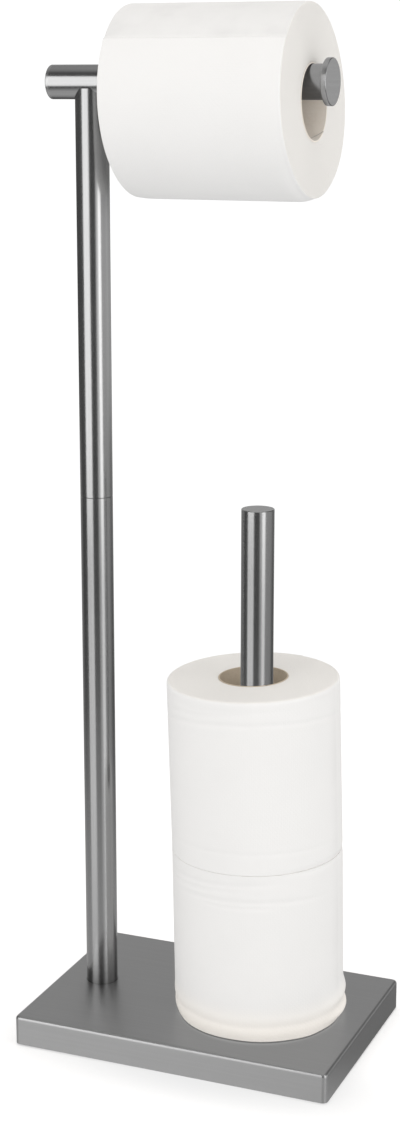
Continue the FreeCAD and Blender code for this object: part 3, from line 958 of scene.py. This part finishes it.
    def _line_core(self, mesh: bmesh.types.BMesh) -> None:
        """Lay the core's inner wall in rows that climb one pitch in each turn, cut level at its ends.

        Args:
            mesh: The mesh to lay it in.
        """
        laps = [0.0, self.seam_rise] + spaced(*self.core_laps, self.core_rows)
        wraps = math.ceil(self.half_width / CORE_PITCH) + 1
        rows = [wrap + lap for wrap in range(-wraps, wraps) for lap in laps]
        inside = self.core_radius - self.core_wall
        grid = []
        for row in rows:
            line = []
            for column in range(self.core_columns):
                turn = column / self.core_columns
                height = min(self.half_width, max(-self.half_width, (row + turn) * CORE_PITCH))
                lap = (height / CORE_PITCH - turn) % 1.0
                step = min(lap / self.seam_rise, 1.0) * (1.0 - lap) * self.seam_step
                line.append(mesh.verts.new(on_circle(math.tau * turn, inside - step, height)))
            grid.append(line)
        for row in range(len(rows) - len(laps) - 1):
            for column in range(self.core_columns):
                last = column + 1 == self.core_columns
                beside, place = (row + len(laps), 0) if last else (row, column + 1)
                corners = (row, column), (row + 1, column), (beside + 1, place), (beside, place)
                mesh.faces.new([grid[line][spot] for line, spot in corners])
        bmesh.ops.remove_doubles(mesh, verts=mesh.verts[:], dist=WELD)
        bmesh.ops.delete(mesh, geom=[vert for vert in mesh.verts if not vert.link_faces], context="VERTS")

    def _put(self, data: bpy.types.Mesh, turn: float = 0.0) -> bpy.types.Object:
        """Put a mesh where the roll is, with a smooth skin.

        Args:
            data: The mesh, in the roll's own frame.
            turn: How far it is turned about the roll's axis, in radians.

        Returns:
            Its object.
        """
        data.polygons.foreach_set("use_smooth", [True] * len(data.polygons))
        lean = Matrix.Identity(4)
        for row, (foot, head) in enumerate(zip(self.foot, self.head)):
            lean[row][2] = (head - foot) / (2 * self.half_width)
            lean[row][3] = (foot - head) / 2
        turned = Matrix.Rotation(turn, 4, "Z")
        data.transform(turned)
        for vert in data.vertices:
            share = 0.5 + vert.co.z / (2 * self.half_width)
            rise = Vector(self.foot_rise).lerp(Vector(self.head_rise), share)
            vert.co.z += rise.dot(vert.co.xy) / self.wall_radius
        data.transform(turned.inverted() @ lean)
        piece = put_in_scene(data.name, data)
        place = Matrix.Translation(self.centre) @ Matrix(self.lay.value).transposed().to_4x4()
        piece.matrix_world = place @ Matrix.Translation((*self.head, 0.0)) @ turned
        return piece


class CardUse(Enum):
    """What a light is for."""

    REFLECTION = "a bright panel that shows in the steel"
    LIGHT = "light on paper and floor"


@dataclass(frozen=True)
class LightCard:
    """A soft upright light that faces the stand.

    Attributes:
        bearing: Its direction from the stand, in degrees from the front towards the right.
        bottom, top: The heights of its lower and upper edge.
        brightness: How bright its face looks.
    """

    name: str
    use: CardUse
    bearing: float
    distance: float
    width: float
    bottom: float
    top: float
    brightness: float

    def build(self) -> None:
        """Hang the light."""
        light = bpy.data.lights.new(self.name, "AREA")
        light.shape = "RECTANGLE"
        light.size = self.width
        light.size_y = self.top - self.bottom
        light.energy = self.brightness * math.pi * light.size * light.size_y
        card = put_in_scene(self.name, light)
        angle = math.radians(self.bearing)
        away = Vector((math.sin(angle), -math.cos(angle), 0.0))
        card.location = away * self.distance + Vector((0.0, 0.0, (self.top + self.bottom) / 2))
        card.rotation_euler = (-away).to_track_quat("-Z", "Y").to_euler()
        card.visible_camera = False
        card.visible_diffuse = self.use is CardUse.LIGHT
        card.visible_glossy = self.use is CardUse.REFLECTION


@dataclass(frozen=True)
class RoomPatch:
    """A lighter patch of the room that shows in the steel.

    Attributes:
        low_light: How much light it adds.
        high_light: How much it adds further up.
        bounds: Along X, Y and Z, the parts of a direction where it starts and is full.
        fade: The part along Z where it goes from its low light to its high one.
    """

    low_light: float
    high_light: float
    bounds: Mapping[str, Span]
    fade: Span = (0.2, 0.45)

    def light(self, sheet: NodeSheet, way: Outputs) -> Socket:
        """Give the light that it adds in a direction."""
        edges = [sheet.ramp(way[axis], span) for axis, span in self.bounds.items()]
        return sheet.product(sheet.ramp(way["Z"], self.fade, self.low_light, self.high_light), *edges)


@dataclass(frozen=True)
class Studio:
    """A white room: pale floor, light cards, soft surroundings and the camera.

    Attributes:
        camera_tilt: The camera's angle up from straight down, in degrees.
        camera_turn: Its turn to the left, in degrees.
        floor_white: How bright the floor is further out, and what the camera sees behind it.
        floor_glow: How much light it adds of its own near the stand.
        floor_bounce: How bright it is to what it lights.
        shadow_reach: How far from the stand its shadows start to fade and are gone.
        front_shade: How bright the soft painted shadow in front of the base is.
        front_shade_rise, front_shade_fall: Where that starts and is full, from front and back.
        table_glow: How bright the table, which only the steel shows, is at its centre.
        table_fade: How far from there it starts to darken and is dark.
        table_shade: How much of its light is left in a shadow of the rolls painted on it.
        table_slant: The slant where it starts to mirror and mirrors most.
        room_dark: How bright the room is in the steel, apart from its patches.
    """

    cards: tuple[LightCard, ...]
    patches: tuple[RoomPatch, ...]
    camera_place: tuple[float, float, float]
    camera_tilt: float
    camera_turn: float
    focal_length: float
    disc_sides: int = 96
    floor_radius: float = 8.0
    floor_paint: Colour = (0.9, 0.9, 0.9)
    floor_white: float = 1.06
    floor_glow: float = 0.30
    floor_bounce: float = 0.74
    shadow_reach: Span = (0.375, 0.75)
    front_shade: float = 0.84
    front_shade_rise: Span = (-0.118, -0.062)
    front_shade_fall: Span = (0.0, -0.05)
    front_shade_middle: float = 0.02
    front_shade_reach: float = 0.18
    table_radius: float = 2.2
    table_height: float = 0.3 * MM
    table_centre: Span = (-0.06, -0.12)
    table_glow: float = 0.46
    table_fade: Span = (0.25, 0.80)
    table_shade: float = 0.45
    table_shade_centre: Span = (0.15, 0.04)
    table_shade_reach: Span = (0.05, 0.14)
    table_gloss: float = 0.78
    table_slant: Span = (0.5, 0.75)
    table_roughness: float = 0.15
    room_light: float = 0.85
    room_tint: Colour = (1.0, 0.985, 0.97)
    room_dark: float = 0.07

    def build(self) -> None:
        """Make the whole studio."""
        for card in self.cards:
            card.build()
            log.info("light: %s", card.name)
        self.lay_floor()
        self.lay_table()
        self.paint_room()
        self.place_camera()
        bpy.context.scene.view_settings.view_transform = "Standard"

    def _disc(self, name: str, radius: float, height: float) -> tuple[bpy.types.Object, NodeSheet]:
        """Lay a level disc that is not part of the object.

        Args:
            name: Its name.
            radius: Its radius.
            height: Its height.

        Returns:
            The disc, and the sheet of its empty material.
        """
        mesh = bmesh.new()
        bmesh.ops.create_circle(mesh, cap_ends=True, segments=self.disc_sides, radius=radius)
        data = bpy.data.meshes.new(name)
        mesh.to_mesh(data)
        mesh.free()
        material = bpy.data.materials.new(name)
        material.use_nodes = True
        material.node_tree.nodes.clear()
        data.materials.append(material)
        disc = put_in_scene(name, data)
        disc.location.z = height
        return disc, NodeSheet(material.node_tree)

    def lay_floor(self) -> None:
        """Lay the pale floor, which takes soft shadows near the stand and a painted shadow in front of the
        base, and is plain white further out.
        """
        floor, sheet = self._disc("floor", self.floor_radius, 0.0)
        place = sheet.add("TexCoord").outputs["Object"]
        paint = sheet.add("BsdfDiffuse", {"Color": opaque(self.floor_paint)}).outputs[0]
        lit = sheet.add("AddShader", {0: paint, 1: sheet.glow(self.floor_glow)}).outputs[0]
        # Painted shadow: a grey glow blended in front of the base.
        lit = sheet.blend(self._painted_front_shadow(sheet, place), lit, sheet.glow(self.front_shade))
        further_out = sheet.ramp(sheet.vector("LENGTH", place), self.shadow_reach)
        shown = sheet.blend(further_out, lit, sheet.glow(self.floor_white))
        scattered = sheet.add("LightPath").outputs["Is Diffuse Ray"]
        surface = sheet.blend(scattered, shown, sheet.glow(self.floor_bounce))
        sheet.add("OutputMaterial", {"Surface": surface})
        floor.visible_glossy = False

    def _painted_front_shadow(self, sheet: NodeSheet, place: Socket) -> Socket:
        """Find the soft shadow painted in front of the base.

        Args:
            sheet: The floor's sheet.
            place: The place on the floor.

        Returns:
            A socket that is 1 where the shadow is full.
        """
        x, y, _ = sheet.split(place)
        aside = sheet.math("ABSOLUTE", sheet.math("SUBTRACT", x, self.front_shade_middle))
        across = sheet.ramp(aside, (self.front_shade_reach, 0.0))
        along = (sheet.ramp(y, span) for span in (self.front_shade_rise, self.front_shade_fall))
        return sheet.product(*along, across)

    def lay_table(self) -> None:
        """Lay the grey table that only reflections see, brightest in front of the stand, with a painted
        shadow beside the rolls.
        """
        table, sheet = self._disc("table_in_reflections", self.table_radius, self.table_height)
        place = sheet.add("TexCoord").outputs["Object"]
        from_bright = sheet.vector("DISTANCE", place, (*self.table_centre, 0.0))
        from_shade = sheet.vector("DISTANCE", place, (*self.table_shade_centre, 0.0))
        strength = sheet.ramp(from_bright, self.table_fade, self.table_glow, self.room_dark)
        # Painted shadow: the table's glow is darker beside the rolls.
        shade = sheet.ramp(from_shade, self.table_shade_reach, self.table_shade, 1.0)
        glow = sheet.glow(sheet.product(strength, shade))
        gloss = sheet.add("BsdfGlossy", {"Roughness": self.table_roughness}).outputs[0]
        slant = sheet.add("LayerWeight").outputs["Facing"]
        surface = sheet.blend(sheet.ramp(slant, self.table_slant, 0.0, self.table_gloss), glow, gloss)
        sheet.add("OutputMaterial", {"Surface": surface})
        table.visible_camera = False
        table.visible_diffuse = False
        table.visible_shadow = False

    def paint_room(self) -> None:
        """Make the surroundings: white to look at, soft white as light, darker in reflections."""
        world = bpy.data.worlds.new("room")
        bpy.context.scene.world = world
        world.use_nodes = True
        world.node_tree.nodes.clear()
        sheet = NodeSheet(world.node_tree)
        way = sheet.split(sheet.add("TexCoord").outputs["Generated"])
        grey = self.room_dark
        for patch in self.patches:
            grey = sheet.math("ADD", patch.light(sheet, way), grey)
        lights = (self.room_tint, self.room_light), (WHITE, self.floor_white), (WHITE, grey)
        soft, white, mirrored = (
            sheet.add("Background", {"Color": opaque(tint), "Strength": strength}).outputs[0]
            for tint, strength in lights
        )
        rays = sheet.add("LightPath").outputs
        unscattered = sheet.math("LESS_THAN", rays["Diffuse Depth"], 1.0)
        lit = sheet.blend(sheet.product(rays["Is Glossy Ray"], unscattered), soft, mirrored)
        sheet.add("OutputWorld", {"Surface": sheet.blend(rays["Is Camera Ray"], lit, white)})

    def place_camera(self) -> None:
        """Stand the camera where the photograph was taken from."""
        lens = bpy.data.cameras.new("camera")
        lens.lens = self.focal_length
        camera = put_in_scene("camera", lens)
        camera.location = self.camera_place
        camera.rotation_euler = (math.radians(self.camera_tilt), 0.0, math.radians(self.camera_turn))
        bpy.context.scene.camera = camera


FINISHES = (
    # The base's edges are painted darker, as painted shade over their highlight.
    BrushedSteel("brushed_base", STEEL, 0.34, GrainAxis.ALONG_X, line_contrast=0.018, edge_gain=0.78),
    # The post's wide corner width spreads painted shade over its foot, beside the base.
    BrushedSteel(
        "brushed_post", STEEL, 0.20, GrainAxis.ALONG_Z, corner_width=45.0 * MM, corner_shade=0.30,
    ),
    BrushedSteel("brushed_spindle", STEEL, 0.20, GrainAxis.ALONG_Z),
    BrushedSteel("brushed_arm", STEEL, 0.20, GrainAxis.ALONG_X),
    # The cap's rim is painted lighter, as a painted highlight.
    BrushedSteel("brushed_cap", CAP_STEEL, 0.22, GrainAxis.ALONG_Y, edge_width=0.9 * MM, edge_gain=1.45),
    BrushedSteel("brushed_disc", DISC_STEEL, 0.30, GrainAxis.ALONG_Y),
    GrainySkin(
        "zinc_plate", (0.66, 0.67, 0.68), 0.32, (0.52, 0.55, 0.60), grains=2500.0, grain_depth=0.004 * MM,
        grain_roughness=0.12, clouds=240.0, cloud_share=1.0, metallic=1.0,
    ),
    GrainySkin(
        "cast_ballast", (0.05, 0.05, 0.055), 0.675, (0.11, 0.105, 0.10), grains=650.0,
        grain_depth=0.15 * MM, metallic=0.4,
    ),
    GrainySkin(
        "foam_pad", (0.018, 0.018, 0.019), 0.845, (0.035, 0.035, 0.036), grains=1500.0,
        grain_depth=0.08 * MM,
    ),
    Tissue("tissue", PAPER, 0.9),
    Tissue(
        "tissue_in_use", PAPER, 0.9, bare_start=(0.005, 0.085),
        bare_end=(HANGING_TAIL / 360.0 + 0.003, HANGING_TAIL / 360.0 - 0.01),
    ),
    Tissue("tissue_on_base", PAPER, 0.9, foot_tint=0.85),
    # The two boards below are one board in two colours: the first painted lighter, as painted light, for
    # the roll on the arm; the second darker, as painted shade, for the spare rolls.
    CoreBoard("core_board", (1.0, 0.93, 0.84), 0.85, (0.96, 0.88, 0.78), fuzz=0.5),
    CoreBoard("shaded_core_board", (0.64, 0.55, 0.435), 0.85, (0.58, 0.49, 0.38)),
)

STAND = (
    StandSection("base", {
        "brushed_base": ("base_cover",),
        "cast_ballast": ("base_weight",),
        "foam_pad": ("base_pad",),
        "zinc_plate": ("post_base_screw", "post_base_washer", "spindle_base_screw", "spindle_base_washer"),
    }),
    StandSection("post", {
        "brushed_post": ("post_lower_tube", "post_upper_tube"),
        "zinc_plate": (
            "post_foot_insert", "post_lower_joint_insert", "post_upper_joint_insert", "post_joint_stud",
            "post_top_insert",
        ),
    }),
    StandSection("arm", {
        "brushed_arm": ("arm_tube",),
        "brushed_cap": ("arm_stop_cap",),
        "brushed_disc": ("arm_end_plug",),
        "zinc_plate": ("arm_bolt", "arm_saddle_nut"),
    }),
    StandSection("spindle", {
        "brushed_spindle": ("spindle_tube",),
        "brushed_disc": ("spindle_top_plug",),
        "zinc_plate": ("spindle_foot_insert",),
    }),
)

STUDIO = Studio(
    cards=(
        LightCard("left_card", CardUse.REFLECTION, -28.0, 1.30, 1.10, 0.02, 1.36, 1.24),
        LightCard("right_card", CardUse.REFLECTION, 64.0, 1.10, 0.40, 0.02, 1.30, 1.20),
        LightCard("right_fill", CardUse.REFLECTION, 46.0, 1.15, 0.44, 0.02, 1.30, 0.45),
        LightCard("front_key", CardUse.LIGHT, 10.0, 1.60, 1.00, 0.02, 1.00, 0.9),
        LightCard("high_key", CardUse.LIGHT, -25.0, 1.30, 0.70, 1.10, 2.00, 1.6),
        LightCard("right_key", CardUse.LIGHT, 38.0, 1.40, 0.60, 0.20, 0.85, 0.6),
        LightCard("right_side", CardUse.LIGHT, 85.0, 1.30, 0.80, 0.35, 1.15, 1.05),
    ),
    patches=(
        RoomPatch(0.36, 0.23, {"X": (0.35, -0.1), "Y": (-0.1, 0.6), "Z": (-0.02, 0.1)}),
        RoomPatch(0.36, 0.36, {"X": (-0.3, 0.15), "Y": (0.35, 0.9), "Z": (0.26, 0.10)}),
        RoomPatch(0.40, 0.40, {"X": (0.5, 0.9)}),
        RoomPatch(0.36, 0.36, {"Z": (0.78, 1.0)}),
    ),
    camera_place=(0.42721, -1.05344, 0.55732),
    camera_tilt=76.69,
    camera_turn=22.38,
    focal_length=64.63,
)


def make_rolls() -> list[TissueRoll]:
    """Describe the three rolls.

    Returns:
        The roll on the arm and the two spare ones.
    """
    facing = -70.0
    hanging_marks = (
        SqueezeMark(104.0, 1.9, 4.5, towards=172.0, reach=75.0),
        SqueezeMark(0.0, 0.6, 4.5, towards=180.0, reach=75.0),
    )
    upper_marks = (
        SqueezeMark(89.5, 0.34, 1.4, droop=7.5, towards=facing, reach=120.0),
        SqueezeMark(93.0, 0.26, 1.3, slant=5.0, towards=facing - 38.0, reach=42.0),
        SqueezeMark(97.0, 0.18, 1.6, towards=facing - 20.0, reach=60.0),
        SqueezeMark(13.0, 0.22, 1.3, droop=3.0, towards=facing - 5.0, reach=75.0),
        SqueezeMark(0.5, 0.70, 1.3, towards=facing + 75.0, reach=75.0),
    )
    lower_marks = (
        SqueezeMark(102.0, 0.60, 1.3, towards=facing + 75.0, reach=70.0),
        SqueezeMark(95.5, 0.34, 1.5, slant=3.0, towards=facing - 30.0, reach=55.0),
        SqueezeMark(91.0, 0.30, 1.4, slant=4.0, towards=facing - 42.0, reach=45.0),
        SqueezeMark(86.5, 0.40, 1.5, droop=4.0, towards=facing - 8.0, reach=70.0),
        SqueezeMark(83.0, 0.28, 1.2, towards=facing - 14.0, reach=35.0),
        SqueezeMark(14.5, -0.24, 2.6),
        SqueezeMark(10.0, 0.26, 1.6, towards=facing - 20.0, reach=130.0),
        SqueezeMark(0.0, 0.50, 2.6),
        SqueezeMark(15.5, -1.30, 4.5, towards=facing + 92.0, reach=50.0),
        SqueezeMark(5.0, -2.00, 3.0, towards=facing + 92.0, reach=42.0),
    )
    lower, touch, upper = (3.1 * MM, 0.0), (1.1 * MM, 0.0), (-2.2 * MM, 0.0)
    slid, touch_rise, top_rise = (-2.3 * MM, 0.0), (1.0 * MM, 0.3 * MM), (1.3 * MM, 1.3 * MM)
    return [
        TissueRoll(
            "hanging_roll", RollLay.HANGING, HANGING_TAIL, 3.7, hanging_marks, spread=0.5 * MM,
            foot_rise=slid, head_rise=slid, tissue="tissue_in_use", core_turn=23.0,
            lower_edge=0.9 * MM, upper_edge=0.9 * MM,
        ),
        TissueRoll(
            "lower_spare_roll", RollLay.UPRIGHT, 118.0, 11.3, lower_marks, foot=lower, head=touch,
            fray=1.1 * MM, head_rise=touch_rise, tissue="tissue_on_base", board="shaded_core_board",
            core_shrink=1.2 * MM, lower_edge=0.8 * MM, upper_edge=0.12 * MM,
        ),
        TissueRoll(
            "upper_spare_roll", RollLay.UPRIGHT, 74.0, 23.9, upper_marks, foot=touch, head=upper,
            mirrored=False, foot_rise=touch_rise, head_rise=top_rise, board="shaded_core_board",
            core_turn=120.0, core_shrink=1.2 * MM, lower_edge=0.12 * MM,
        ),
    ]


def main() -> None:
    """Dress the stand, wind the rolls and build the studio."""
    logging.basicConfig(level=logging.INFO, format="%(name)s: %(message)s")
    effects = Effects()
    materials = {finish.name: finish.build(effects) for finish in FINISHES}
    for section in STAND:
        section.dress(materials)
    for roll in make_rolls():
        roll.build(materials)
    STUDIO.build()


if __name__ == "__main__":
    main()
